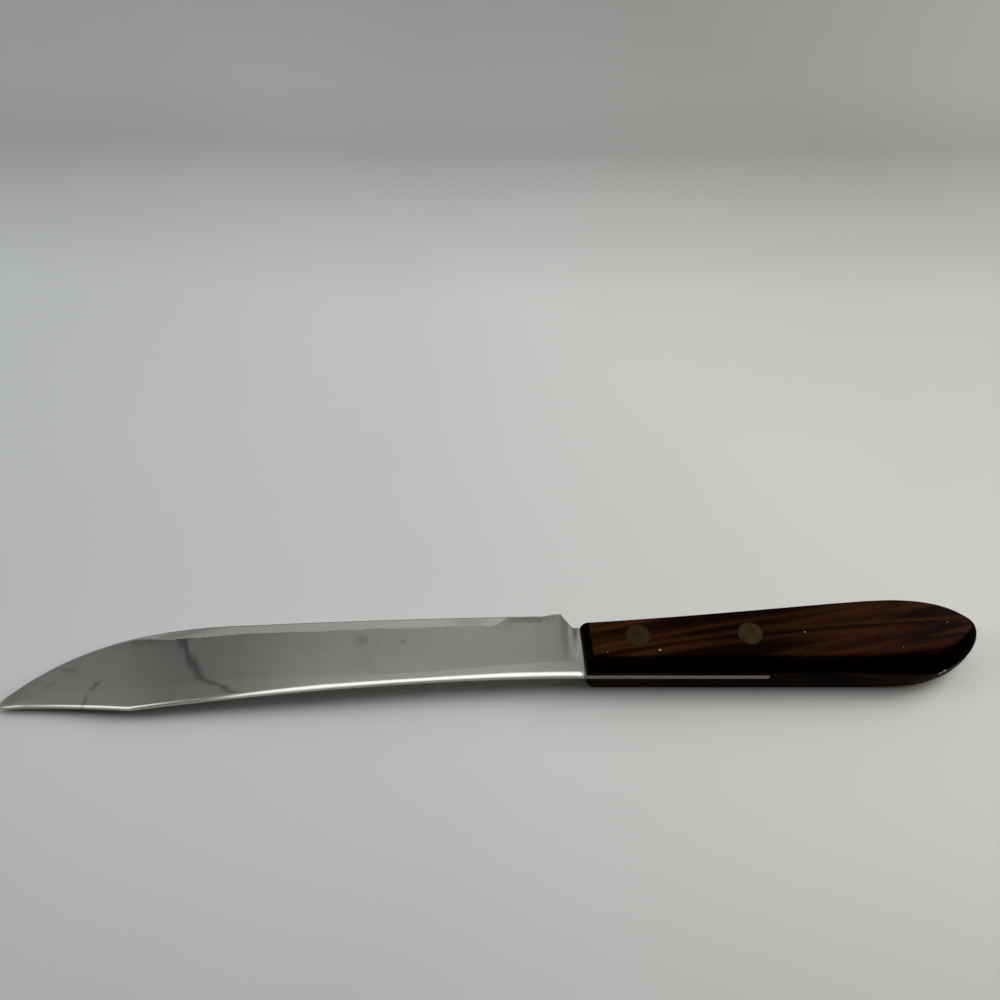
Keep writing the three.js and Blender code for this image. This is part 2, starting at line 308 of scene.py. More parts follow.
def polishedSteel():
    s = steelFinish
    material, tree, shader = newMaterial("polishedStainlessSteel")
    where = addNode(tree, "ShaderNodeTexCoord").outputs["Object"]
    groundEdge = addNode(tree, "ShaderNodeAttribute", attribute_name="groundEdge").outputs["Fac"]
    tang = addNode(tree, "ShaderNodeAttribute", attribute_name="tang").outputs["Fac"]
    edgeShadeLine = addNode(tree, "ShaderNodeAttribute", attribute_name="edgeShadeLine").outputs["Fac"]

    stretched = addNode(tree, "ShaderNodeMapping", {"Vector": where, "Scale": (s["lineStretch"], 1, 1)})
    lines = addNode(tree, "ShaderNodeTexNoise", {
        "Vector": stretched.outputs[0], "Scale": perMm(s["lineWidth"]), "Detail": 4})
    smudges = addNode(tree, "ShaderNodeTexNoise", {
        "Vector": where, "Scale": perMm(s["smudgeSize"]), "Detail": 5, "Roughness": 0.6})
    waves = addNode(tree, "ShaderNodeTexNoise", {
        "Vector": where, "Scale": perMm(s["waveSize"]), "Detail": 1})
    slanted = addNode(tree, "ShaderNodeMapping", {
        "Vector": where, "Rotation": (0, 0, math.radians(s["scratchTurn"])),
        "Scale": (s["scratchStretch"], 1, 1)})
    scratches = addNode(tree, "ShaderNodeTexNoise", {
        "Vector": slanted.outputs[0], "Scale": perMm(s["scratchWidth"]), "Detail": 3})
    ragged = addNode(tree, "ShaderNodeTexNoise", {
        "Vector": where, "Scale": perMm(s["raggedSize"]), "Detail": 5})

    stain = addNode(tree, "ShaderNodeMapRange", {
        "Value": smudges.outputs[0], "From Min": s["stainRange"][0], "From Max": s["stainRange"][1],
        "To Max": s["stainStrength"]})
    tone = addNode(tree, "ShaderNodeMixRGB", {
        "Fac": stain.outputs[0], "Color1": colour(s["metal"]), "Color2": colour(s["stain"])})
    withEdge = addNode(tree, "ShaderNodeMixRGB", {
        "Fac": groundEdge, "Color1": tone.outputs[0], "Color2": colour(s["groundEdge"])})
    wander = addNode(tree, "ShaderNodeMath", {
        0: ragged.outputs[0], 1: s["raggedness"]}, operation="MULTIPLY")
    marked = withEdge.outputs[0]
    for x, y, halfLength, halfWidth, turn, strength in s["marks"]:
        local = addNode(tree, "ShaderNodeMapping", {
            "Vector": where, "Location": place(x, y, 0), "Rotation": (0, 0, math.radians(turn)),
            "Scale": (halfLength * mm, halfWidth * mm, 1)}, vector_type="TEXTURE")
        distance = addNode(tree, "ShaderNodeVectorMath", {0: local.outputs[0]}, operation="LENGTH")
        uneven = addNode(tree, "ShaderNodeMath", {0: distance.outputs["Value"], 1: wander.outputs[0]})
        mark = addNode(tree, "ShaderNodeMapRange", {
            "Value": uneven.outputs[0], "From Min": s["markRange"][0], "From Max": s["markRange"][1],
            "To Max": strength})
        marked = addNode(tree, "ShaderNodeMixRGB", {
            "Fac": mark.outputs[0], "Color1": marked, "Color2": colour(s["mark"])}).outputs[0]
    # painted shade: a ragged dark line on the narrow last step of the edge bevel
    edgeShadeFac = addNode(tree, "ShaderNodeMath", {0: edgeShadeLine, 1: ragged.outputs[0]}, operation="MULTIPLY")
    withEdgeShade = addNode(tree, "ShaderNodeMixRGB", {
        "Fac": edgeShadeFac.outputs[0], "Color1": marked, "Color2": colour(s["edgeShadeLine"])})
    withTang = addNode(tree, "ShaderNodeMixRGB", {
        "Fac": tang, "Color1": withEdgeShade.outputs[0], "Color2": colour(s["tang"])})

    smooth = addNode(tree, "ShaderNodeMapRange", {
        "Value": smudges.outputs[0], "From Min": s["smudgeRange"][0], "From Max": s["smudgeRange"][1],
        "To Min": s["roughness"] - s["cleanBy"], "To Max": s["roughness"] + s["smudgedBy"]})
    rough = addNode(tree, "ShaderNodeMapRange", {
        "Value": groundEdge, "From Max": s["spineCoarseness"],
        "To Max": s["spineCoarseness"] * (s["groundRoughness"] - s["roughness"])})
    roughness = addNode(tree, "ShaderNodeMath", {0: smooth.outputs[0], 1: rough.outputs[0]})

    scratched = addNode(tree, "ShaderNodeMapRange", {
        "Value": groundEdge, "To Min": s["scratchOnFace"], "To Max": s["scratchOnEdge"]})
    waveBump = addNode(tree, "ShaderNodeBump", {
        "Height": waves.outputs[0], "Strength": s["waveStrength"], "Distance": s["waveDepth"] * mm})
    lineBump = addNode(tree, "ShaderNodeBump", {
        "Height": lines.outputs[0], "Strength": s["lineStrength"], "Distance": s["lineDepth"] * mm,
        "Normal": waveBump.outputs[0]})
    scratchBump = addNode(tree, "ShaderNodeBump", {
        "Height": scratches.outputs[0], "Strength": scratched.outputs[0],
        "Distance": s["scratchDepth"] * mm, "Normal": lineBump.outputs[0]})
    wire(tree, shader, {
        "Base Color": withTang.outputs[0], "Metallic": 1, "Roughness": roughness.outputs[0],
        "Normal": scratchBump.outputs[0]})
    return material


# Rosewood: dense oily wood, sawn along the grain, sanded and rubbed to a low gloss.
# Nearly black brown with red and golden streaks, open pores and pale dust in a few pinholes. The bevels
# carry painted shade and the butt a painted highlight

rosewoodFinish = {
    "dark": "140703",
    "brown": "28130a",
    "red": "2c1108",
    "golden": "3d220e",
    "pore": "070302",
    "dustAndHighlight": "c4b29c",
    "roughness": 0.3,
    "dryBy": 0.08,  # streaks are this much rougher to this much smoother
    "oilyBy": 0.04,
    "gloss": 0.011,
    "grainTurn": -12,  # degrees, the grain runs slightly across the handle
    "grain": {  # width in mm, stretch along the grain, detail and distortion
        "bands": (11, 0.06, 2, 0.4),
        "streaks": (1.6, 0.035, 4, 0.3),
        "pores": (0.3, 0.05, 2, 0),
        "patches": (20, 0.35, 2, 0)},
    "bandTones": [
        (0.28, "brown"), (0.37, "dark"), (0.45, "golden"), (0.51, "dark"), (0.55, "red"),
        (0.61, "golden"), (0.68, "dark")],
    "streakTones": [(0.32, 0.78), (0.5, 0.94), (0.66, 1.12)],
    "streakRange": (0.3, 0.7),
    "patchWander": 0.5,
    "patchTones": [  # from the front to the butt
        (0.0, 1.1), (0.2, 1.0), (0.32, 0.62), (0.55, 0.56), (0.72, 0.86), (1.0, 0.68)],
    "poreRange": (0.62, 0.7),
    # painted shade by which way a side faces: the bevels are made nearly black
    "facingShadeTones": [  # from the sides that face down to those that face up
        (0, 1), (0.05, 0.7), (0.5, 0.65), (0.56, 0.62), (0.625, 0.12), (0.875, 0.12), (0.975, 1)],
    "grainStrength": 0.08,
    "grainDepth": 0.2,
    "poreStrength": 0.25,
    "poreDepth": 0.08,
    "pinholesAndHighlight": [  # x, y, z and radius; the last two are a painted highlight on the butt's lower edge
        (24.2, 5.3, 8.75, 0.42), (72.1, 11.9, 8.75, 0.26), (7.3, 4.6, 8.75, 0.17),
        (103, 6.5, 8.75, 0.16), (119.5, 15.5, 8.75, 0.18), (117.4, 1.3, 1.8, 0.9),
        (116, 0.9, 1.2, 0.8)],
}


def rosewood():
    w = rosewoodFinish
    material, tree, shader = newMaterial("rubbedRosewood")
    surface = addNode(tree, "ShaderNodeTexCoord").outputs
    where = surface["Object"]
    turned = addNode(tree, "ShaderNodeMapping", {
        "Vector": where, "Rotation": (0, 0, math.radians(w["grainTurn"]))}).outputs[0]
    grain = {}
    for name, (width, stretch, detail, distortion) in w["grain"].items():
        along = addNode(tree, "ShaderNodeMapping", {"Vector": turned, "Scale": (stretch, 1, 1)})
        grain[name] = addNode(tree, "ShaderNodeTexNoise", {
            "Vector": along.outputs[0], "Scale": perMm(width), "Detail": detail,
            "Distortion": distortion}).outputs[0]

    ground = addNode(tree, "ShaderNodeValToRGB", {"Fac": grain["bands"]}, stops=[
        (position, colour(w[name])) for position, name in w["bandTones"]])
    streakShade = addNode(
        tree, "ShaderNodeValToRGB", {"Fac": grain["streaks"]}, stops=greys(w["streakTones"]))
    streaked = addNode(tree, "ShaderNodeMixRGB", {
        "Fac": 1, "Color1": ground.outputs[0], "Color2": streakShade.outputs[0]}, blend_type="MULTIPLY")
    fromFront = addNode(tree, "ShaderNodeSeparateXYZ", {0: where}).outputs["X"]
    lengthwise = addNode(tree, "ShaderNodeMapRange", {
        "Value": fromFront, "From Min": frontX, "From Max": handleHigh.x,
        "To Min": -w["patchWander"] / 2, "To Max": 1 - w["patchWander"] / 2})
    wandering = addNode(tree, "ShaderNodeMath", {
        0: grain["patches"], 1: w["patchWander"], 2: lengthwise.outputs[0]}, operation="MULTIPLY_ADD")
    patchShade = addNode(
        tree, "ShaderNodeValToRGB", {"Fac": wandering.outputs[0]}, stops=greys(w["patchTones"]))
    patchy = addNode(tree, "ShaderNodeMixRGB", {
        "Fac": 1, "Color1": streaked.outputs[0], "Color2": patchShade.outputs[0]}, blend_type="MULTIPLY")
    poreMask = addNode(tree, "ShaderNodeMapRange", {
        "Value": grain["pores"], "From Min": w["poreRange"][0], "From Max": w["poreRange"][1]})
    withPores = addNode(tree, "ShaderNodeMixRGB", {
        "Fac": poreMask.outputs[0], "Color1": patchy.outputs[0], "Color2": colour(w["pore"])})

    # painted shade: the bevels, which face up at a slant, are coloured much darker than the flats and made
    # to shine less
    upwards = addNode(tree, "ShaderNodeSeparateXYZ", {0: surface["Normal"]}).outputs["Z"]
    facing = addNode(tree, "ShaderNodeMapRange", {"Value": upwards, "From Min": -1, "From Max": 1})
    facingShade = addNode(
        tree, "ShaderNodeValToRGB", {"Fac": facing.outputs[0]}, stops=greys(w["facingShadeTones"]))
    withFacingShade = addNode(tree, "ShaderNodeMixRGB", {
        "Fac": 1, "Color1": withPores.outputs[0], "Color2": facingShade.outputs[0]}, blend_type="MULTIPLY")

    dustedAndHighlit = withFacingShade.outputs[0]
    # pale dust in the pinholes, and from the last two a painted highlight on the butt
    for x, y, z, radius in w["pinholesAndHighlight"]:
        fromHole = addNode(tree, "ShaderNodeVectorMath", {
            0: where, 1: place(x, y, z)}, operation="DISTANCE").outputs["Value"]
        dustAndHighlight = addNode(tree, "ShaderNodeMapRange", {
            "Value": fromHole, "From Min": radius * mm, "From Max": radius / 2 * mm})
        dustedAndHighlit = addNode(tree, "ShaderNodeMixRGB", {
            "Fac": dustAndHighlight.outputs[0], "Color1": dustedAndHighlit, "Color2": colour(w["dustAndHighlight"])}).outputs[0]

    gloss = addNode(tree, "ShaderNodeMath", {0: facingShade.outputs[0], 1: w["gloss"]}, operation="MULTIPLY")
    roughness = addNode(tree, "ShaderNodeMapRange", {
        "Value": grain["streaks"], "From Min": w["streakRange"][0], "From Max": w["streakRange"][1],
        "To Min": w["roughness"] + w["dryBy"], "To Max": w["roughness"] - w["oilyBy"]})
    grainBump = addNode(tree, "ShaderNodeBump", {
        "Height": grain["streaks"], "Strength": w["grainStrength"], "Distance": w["grainDepth"] * mm})
    poreBump = addNode(tree, "ShaderNodeBump", {
        "Height": poreMask.outputs[0], "Strength": w["poreStrength"], "Distance": w["poreDepth"] * mm,
        "Normal": grainBump.outputs[0]}, invert=True)
    wire(tree, shader, {
        "Base Color": dustedAndHighlit, "Roughness": roughness.outputs[0],
        "Specular IOR Level": gloss.outputs[0], "Normal": poreBump.outputs[0]})
    return material


# Brass rivets, sanded flush with the wood and long since dulled to olive brown

brassFinish = {
    "dull": "322817",
    "worn": "372d19",
    "dark": "261e14",
    "tones": [(0.3, "dark"), (0.5, "dull"), (0.7, "worn")],
    "roughness": 0.5,
    "roughnessSpread": 0.1,
    "patchSize": 2.5,
    "patchRange": (0.3, 0.7),
    "lineWidth": 0.18,
    "lineStretch": 0.05,
    "lineStrength": 0.15,
    "lineDepth": 0.05,
}


def agedBrass():
    b = brassFinish
    material, tree, shader = newMaterial("agedBrass")
    where = addNode(tree, "ShaderNodeTexCoord").outputs["Object"]
    patches = addNode(tree, "ShaderNodeTexNoise", {
        "Vector": where, "Scale": perMm(b["patchSize"]), "Detail": 5, "Roughness": 0.65})
    along = addNode(tree, "ShaderNodeMapping", {"Vector": where, "Scale": (b["lineStretch"], 1, 1)})
    lines = addNode(tree, "ShaderNodeTexNoise", {
        "Vector": along.outputs[0], "Scale": perMm(b["lineWidth"]), "Detail": 3})
    tone = addNode(tree, "ShaderNodeValToRGB", {"Fac": patches.outputs[0]}, stops=[
        (position, colour(b[name])) for position, name in b["tones"]])
    roughness = addNode(tree, "ShaderNodeMapRange", {
        "Value": patches.outputs[0], "From Min": b["patchRange"][0], "From Max": b["patchRange"][1],
        "To Min": b["roughness"] + b["roughnessSpread"], "To Max": b["roughness"] - b["roughnessSpread"]})
    bump = addNode(tree, "ShaderNodeBump", {
        "Height": lines.outputs[0], "Strength": b["lineStrength"], "Distance": b["lineDepth"] * mm})
    wire(tree, shader, {
        "Base Color": tone.outputs[0], "Metallic": 1, "Roughness": roughness.outputs[0],
        "Normal": bump.outputs[0]})
    return material


steel = polishedSteel()
wood = rosewood()
brass = agedBrass()
print("materials made")


# Blade: a loft of cross sections from the tip to the end of the half tang

bladeShape = {
    "length": 190,
    "tipRise": 11.1,
    "humpDistance": 146,
    "humpRise": 11.6,
    "spineLevelLength": 62,
    "clipHollow": 1,
    "tipAngle": 48,
    "tipRun": 27,
    "sweepDistance": 115,
    "sweepDepth": 19.1,
    "sweepRun": 36,
    "edgeMiddleDistance": 55,
    "edgeMiddleDepth": 22.1,
    "heelStepDistance": 13,
    "heelDepth": 22.7,
    "heelStepRun": 4,
    "heelStepDepth": 0.9,
    "heelLandLength": 2.2,
    "heelSlopeRun": 3.9,
    "neckDepth": 18.1,
    "stockThickness": 2.2,
    "tipThickness": 1.2,
    "crownWidth": 2.2,  # buffed round along each spine edge
    "crownAtHump": 1.1,
    "crownLimit": 0.5,  # at most this share of the strip along the spine
    "crownTilt": 16,
    "crownLeastTilt": 0.001,  # radians, so that the curve never closes up
    "crownRunOut": 1,
    "crownRunIn": 7,
    "bandAtHandle": 5.2,
    "bandAtMiddle": 3.2,
    "bandAtHump": 6.5,
    "grindThickness": 0.75,
    "grindLimit": 0.8,  # at most this share of the thickness there
    "edgeThickness": 0.12,
    "edgeBevelWidth": 3.4,
    "edgeBevelLimit": 0.25,  # at most this share of the blade's width
    "edgeBevelAtTip": 0.45,
    "edgeBevelStart": 152,  # distances from the handle
    "edgeBevelFull": 134,
    "edgeBevelAtHeel": 0.45,
    "edgeBevelRunOutStart": 18,
    "edgeBevelRunOutEnd": 10,
    # the narrow last step of the edge bevel, which carries a painted dark line
    "edgeLineWidth": 0.3,
    "edgeLineLimit": 0.9,  # at most this share of the bevel
    "edgeBevelWander": 0.45,  # uneven hand sharpening
    "edgeBevelWanderLength": 9,
    "edgeBevelWaves": [(1, 1), (4, 0.5)],  # how many to that length, and their share
    "edgeBevelSeed": 0.5,
    "grindRunOutStart": 4.6,
    "grindRunOutEnd": 0.6,
    "buffedStart": 178,  # between these distances the border of the grind is buffed away
    "buffedEnd": 72,
    "tangLength": 60.5,
    "tangHole": 4.86,
    "tangHoleReach": 4,  # the drill goes well past both faces
    "stationStep": 0.8,
    "leastStations": 2,
    "crownSteps": 8,
    "bandSteps": 3,
    "faceSteps": 10,
    "bevelSteps": 2,
}

bellyLine = [
    (0, h["frontDepth"]),
    (h["frontRun"], h["frontDepth"] + h["frontRise"]),
    (h["length"] - h["palmFromButt"] - h["palmRun"], h["palmDepth"]),
    (h["length"] - h["palmFromButt"], h["palmDepth"]),
]


def bladeOutline():
    b = bladeShape
    tip = Vector((-b["length"], -b["tipRise"]))
    hump = Vector((-b["humpDistance"], -b["humpRise"]))
    sweep = Vector((-b["sweepDistance"], b["sweepDepth"]))
    middle = Vector((-b["edgeMiddleDistance"], b["edgeMiddleDepth"]))
    heelStep = Vector((-b["heelStepDistance"], b["heelDepth"]))
    heelLand = heelStep + Vector((b["heelStepRun"], b["heelStepDepth"]))
    heelCorner = heelLand + Vector((b["heelLandLength"], 0))
    neck = Vector((heelCorner.x + b["heelSlopeRun"], b["neckDepth"]))
    turn = math.radians(b["tipAngle"])
    clip = [tip, (tip + hump) / 2 + Vector((0, b["clipHollow"])), hump]
    back = [hump, (-b["spineLevelLength"], 0), (0, 0)]
    belly = [
        tip,
        tip + b["tipRun"] * Vector((math.cos(turn), math.sin(turn))),
        sweep - b["sweepRun"] * (middle - sweep).normalized(),
        sweep,
    ]
    edge = [sweep, middle, heelStep]
    heel = [heelStep, heelLand, heelCorner, neck, Vector((0, h["frontDepth"]))]

    def spineAt(x):
        if x >= 0:
            return 0
        return depthAt(clip if x < hump.x else back, x)

    def edgeAt(x):
        if x >= 0:
            return depthAt(bellyLine, x)
        if x < heelStep.x:
            return depthAt(belly if x < sweep.x else edge, x)
        for a, c in zip(heel, heel[1:]):
            if x <= c.x:
                return blend(a.y, c.y, (x - a.x) / (c.x - a.x))

    corners = [tip.x, hump.x, sweep.x] + [p.x for p in heel] + [b["tangLength"]]
    return spineAt, edgeAt, corners


def bladeSection(x, spineAt, edgeAt):
    b = bladeShape
    spine, edge = spineAt(x), edgeAt(x)
    width = edge - spine
    heelX = -b["heelStepDistance"]
    humpX, middleX = -b["humpDistance"], -b["edgeMiddleDistance"]
    taper = min(1 + x / b["length"], 1)
    half = blend(b["tipThickness"], b["stockThickness"], taper) / 2
    runOut = easeBetween(x, -b["grindRunOutStart"], -b["grindRunOutEnd"])

    if x < humpX:
        band = b["bandAtHump"] * width / (edgeAt(humpX) - spineAt(humpX))
    elif x < middleX:
        band = blend(b["bandAtHump"], b["bandAtMiddle"], easeBetween(x, humpX, middleX))
    else:
        band = blend(b["bandAtMiddle"], b["bandAtHandle"], easeBetween(x, middleX, 0))

    fullBevel = blend(
        b["edgeBevelAtTip"], b["edgeBevelWidth"], easeBetween(x, -b["edgeBevelStart"], -b["edgeBevelFull"]))
    wander, seed = 0, b["edgeBevelSeed"]
    for waves, share in b["edgeBevelWaves"]:
        wander += share * noise.noise(Vector((waves * x / b["edgeBevelWanderLength"], seed, seed)))
    fullBevel += wander * b["edgeBevelWander"] * fullBevel / b["edgeBevelWidth"]
    sharpened = 1 - easeBetween(x, heelX - b["edgeBevelRunOutStart"], heelX - b["edgeBevelRunOutEnd"])
    bevel = min(blend(b["edgeBevelAtHeel"], fullBevel, sharpened), width * b["edgeBevelLimit"])

    crownShare = easeBetween(x, -b["length"], -b["length"] + b["crownRunIn"])
    crownShare -= easeBetween(x, -b["crownRunOut"], 0)
    crownTilt = math.radians(b["crownTilt"]) * crownShare + b["crownLeastTilt"]
    crownHere = blend(b["crownAtHump"], b["crownWidth"], easeBetween(x, humpX, -b["spineLevelLength"]))
    crownWidth = min(crownHere, band * b["crownLimit"])
    crownRadius = crownWidth / math.sin(crownTilt)
    shoulder = blend(min(b["grindThickness"] / 2, half * b["grindLimit"]), half, runOut)
    blunt = blend(b["edgeThickness"] / 2, half, runOut)

    upper = []
    for i in range(b["crownSteps"]):
        tilt = crownTilt * (1 - i / b["crownSteps"])
        upper.append((
            spine + crownWidth - crownRadius * math.sin(tilt),
            half - crownRadius * (1 - math.cos(tilt))))
    for i in range(b["bandSteps"]):
        upper.append((blend(spine + crownWidth, spine + band, i / b["bandSteps"]), half))
    for i in range(b["faceSteps"]):
        share = i / b["faceSteps"]
        upper.append((blend(spine + band, edge - bevel, share), blend(half, shoulder, share)))
    for share in (0, 1 - min(b["edgeLineWidth"] / bevel, b["edgeLineLimit"]), 1):
        upper.append((blend(edge - bevel, edge, share), blend(shoulder, blunt, share)))
    lower = [(y, -z) for y, z in reversed(upper)]
    return [place(x, y, z) for y, z in upper + lower]


def makeBlade():
    b = bladeShape
    spineAt, edgeAt, corners = bladeOutline()
    stations = []
    for start, end in zip(corners, corners[1:]):
        count = max(b["leastStations"], round((end - start) / b["stationStep"]))
        stations += [blend(start, end, i / count) for i in range(count)]
    stations = stations[1:] + [b["tangLength"]]

    bm = bmesh.new()
    edgeLayer = bm.faces.layers.float.new("groundEdge")
    tangLayer = bm.faces.layers.float.new("tang")
    edgeShadeLayer = bm.faces.layers.float.new("edgeShadeLine")
    rings = [[bm.verts.new(p) for p in bladeSection(x, spineAt, edgeAt)] for x in stations]
    tipPoint = bm.verts.new(place(-b["length"], -b["tipRise"], 0))
    count = len(rings[0])
    upperCount = count // 2
    bevelStart = upperCount - 1 - b["bevelSteps"]
    grindStart = b["crownSteps"] + b["bandSteps"]
    for i in range(count):
        after = (i + 1) % count
        mirrored = min(i, count - 2 - i) if i != count - 1 else -1
        bm.faces.new((tipPoint, rings[0][after], rings[0][i]))
        for x, ring, following in zip(stations, rings, rings[1:]):
            face = bm.faces.new((ring[i], ring[after], following[after], following[i]))
            face.smooth = True
            if mirrored < 0 and x < 0:
                face[edgeLayer] = steelFinish["spineCoarseness"]
            elif mirrored >= bevelStart and x < -b["heelStepDistance"]:
                face[edgeLayer] = 1
            face[tangLayer] = 1 if x >= 0 else 0
            face[edgeShadeLayer] = 1 if mirrored == upperCount - 2 and x < 0 else 0
    bm.faces.new(rings[-1])
    crisp = {grindStart, bevelStart, upperCount - 1, 0}
    crisp |= {count - 1 - i for i in crisp}
    buffed = {grindStart, count - 1 - grindStart}
    for x, ring, following in zip(stations, rings, rings[1:]):
        for i in crisp - buffed if -b["buffedStart"] < x < -b["buffedEnd"] else crisp:
            bm.edges.get((ring[i], following[i])).smooth = False

    blade = newPiece("bladeWithTang", meshFrom("bladeWithTang", bm), steel)
    reach = b["tangHoleReach"]
    cut(blade, [cylinderCutter(b["tangHole"], -reach, reach, x, y) for x, y in rivetPlaces()])
    return blade


# Handle: one piece of rosewood, sawn to outline, bevelled all round, slotted and drilled

def handleOutline(radius):
    steps = h["curveSteps"]

    def frontAt(y):
        return h["frontSlant"] * (0.5 - y / h["frontDepth"])

    palm = (h["length"] - h["palmFromButt"], h["palmDepth"])
    butt = (h["length"], h["buttDepth"])
    spineEnd = h["length"] - h["buttSpineLength"]
    upper = [
        (spineEnd, 0), (spineEnd + h["buttSpineRun"], 0), (butt[0], butt[1] - h["buttSpinePull"]), butt]
    lower = [
        butt, (butt[0], butt[1] + h["buttBellyPull"]), (palm[0] + h["buttBellyRun"], palm[1]), palm]

    corner = Vector((frontAt(h["frontDepth"]), h["frontDepth"]))
    alongFront = (Vector((frontAt(0), 0)) - corner).normalized()
    alongBelly = Vector((h["frontRun"], h["frontRise"])).normalized()
    halfAngle = alongFront.angle(alongBelly) / 2
    reach = radius / math.tan(halfAngle)
    centre = corner + (alongFront + alongBelly).normalized() * radius / math.sin(halfAngle)
    bellyTouch, frontTouch = corner + alongBelly * reach, corner + alongFront * reach

    spineStart = frontAt(0) + h["cornerReach"]
    points = [Vector((frontAt(0), 0))]
    points += [Vector((blend(spineStart, spineEnd, i / (steps - 1)), 0)) for i in range(steps - 1)]
    points += [onCurve(upper, i / steps) for i in range(steps)]
    points += [onCurve(lower, i / steps) for i in range(steps)]
    for i in range(steps):
        x = blend(palm[0], bellyTouch.x, i / steps)
        points.append(Vector((x, depthAt(bellyLine, x))))
    start, end = (bellyTouch - centre).normalized(), (frontTouch - centre).normalized()
    arcSteps = steps // 2
    for i in range(arcSteps + 1):
        points.append(centre + start.slerp(end, i / arcSteps) * radius)
    return points


def upperInset(point, inward):
    bySpine = blend(h["bevelInset"], h["upperSpineInset"], easeBetween(inward.y, *h["upperTurn"]))
    byButt = blend(h["bevelInset"], h["buttInset"], easeBetween(-inward.x, *h["upperTurn"]))
    fromButt = h["length"] - point.x
    swell = h["bevelSwell"] * (1 - easeBetween(fromButt, h["bevelSwellEnd"], h["bevelSwellStart"]))
    return max(bySpine, byButt) + swell * max(inward.y, 0) ** 2


def lowerInset(point, inward):
    along = blend(h["bevelInset"], h["lowerSpineInset"], easeBetween(inward.y, *h["lowerTurn"]))
    fromButt = h["length"] - point.x
    swell = h["lowerSwell"] * (1 - easeBetween(fromButt, h["lowerSwellEnd"], h["lowerSwellStart"]))
    return along + swell * max(inward.y, 0)


def insetOutline(points, insetFor):
    # each side moves inwards by the bevel width for the way it faces
    inwards = []
    for start, end in zip(points, points[1:] + points[:1]):
        along = (end - start).normalized()
        inwards.append(Vector((-along.y, along.x)))
    moved = []
    for i, point in enumerate(points):
        a, c = inwards[i - 1], inwards[i]
        insetA, insetC = insetFor(points[i - 1], a), insetFor(point, c)
        if i > 0:
            moved.append(point + (a + c).normalized() * (insetA + insetC) / 2)
        else:
            turn = a.x * c.y - a.y * c.x
            shift = Vector((insetA * c.y - insetC * a.y, insetC * a.x - insetA * c.x))
            moved.append(point + shift / turn)
    return moved


def softCorner(points):
    # the sharp first point becomes a small curve
    corner, steps, reach = points[0], h["softSteps"], h["frontSoftness"]
    before = corner + (points[-1] - corner).normalized() * reach
    after = corner + (points[1] - corner).normalized() * reach
    return [onCurve((before, corner, after), i / steps) for i in range(steps + 1)] + points[1:]


def handleRings():
    outline = handleOutline(h["wallRound"])
    roomy = handleOutline(h["bevelInset"] + h["cornerRound"])  # its corner leaves room for the bevel
    upper = [p - o for p, o in zip(insetOutline(roomy, upperInset), outline)]
    lower = [p - o for p, o in zip(insetOutline(roomy, lowerInset), outline)]
    face = h["thickness"] / 2
    wall = face - h["bevelDrop"]
    steps = h["softSteps"]
    rings = []
    for shifts, side in ((lower, -1), (upper, 1)):
        # a share of the bevel width and a height for each ring, from the wall to the face
        bevel = [(0, wall), (0.5 - 2 * h["bevelFullness"], (wall + face) / 2), (1, face)]
        first, last = h["wallSoftness"] / h["bevelDrop"], 1 - h["faceSoftness"] / h["bevelDrop"]
        faceShare = h["faceSoftness"] / h["upperSpineInset"]
        toBevel = [(0, wall - h["wallSoftness"]), (0, wall), onCurve(bevel, first)]
        toFace = [onCurve(bevel, last), (1, face), (1 + faceShare, face)]
        levels = [onCurve(toBevel, i / steps) for i in range(steps + 1)]
        levels += [onCurve(bevel, blend(first, last, i / steps)) for i in range(1, steps)]
        levels += [onCurve(toFace, i / steps) for i in range(steps + 1)]
        for share, height in levels[::side]:
            rings.append((softCorner([o + s * share for o, s in zip(outline, shifts)]), side * height))
    return rings


def sharpen(mesh):
    # wide flats meet their rounded edges without a bend in the shading
    bm = bmesh.new()
    bm.from_mesh(mesh)
    for edge in bm.edges:
        angle = edge.calc_face_angle(0)
        wide = max(face.calc_area() for face in edge.link_faces) > h["flatArea"] * mm * mm
        edge.smooth = angle < math.radians(h["flatAngle"] if wide else h["edgeAngle"])
    for face in bm.faces:
        face.smooth = True
    bm.to_mesh(mesh)
    bm.free()


def makeHandle():
    face = h["thickness"] / 2
    bm = bmesh.new()
    rings = [[bm.verts.new(place(p.x, p.y, z)) for p in points] for points, z in handleRings()]
    for ring, following in zip(rings, rings[1:]):
        for i in range(len(ring)):
            j = (i + 1) % len(ring)
            bm.faces.new((ring[i], ring[j], following[j], following[i]))
    bm.faces.new(rings[0])
    bm.faces.new(rings[-1])
    handle = newPiece("handleBody", meshFrom("handleBody", bm), wood)

    r = rivetShape
    seat = face - r["headThickness"]
    headHole = r["headDiameter"] + 2 * r["clearance"]
    tubeHole = r["tubeDiameter"] + 2 * r["clearance"]
    cutters = []
    for x, y in rivetPlaces():
        cutters.append(cylinderCutter(tubeHole, -2 * face, 2 * face, x, y))
        cutters.append(cylinderCutter(headHole, seat, 2 * face, x, y))
        cutters.append(cylinderCutter(headHole, -2 * face, -seat, x, y))
    slot = bmesh.new()
    bmesh.ops.create_cube(slot, size=1)
    slotSize = Vector((h["slotLength"] + h["frontSlant"], 2 * h["palmDepth"], h["slotThickness"])) * mm
    bmesh.ops.scale(slot, verts=slot.verts, vec=slotSize)
    bmesh.ops.translate(
        slot, verts=slot.verts, vec=place((h["slotLength"] - h["frontSlant"]) / 2, h["palmDepth"] / 2, 0))
    slotCutter = bpy.data.objects.new("slotCutter", meshFrom("slotCutter", slot))
    bpy.context.scene.collection.objects.link(slotCutter)
    cut(handle, cutters + [slotCutter])
    sharpen(handle.data)
    return handle


# One node tree makes a half rivet from its sizes and sets it at every point of a mesh

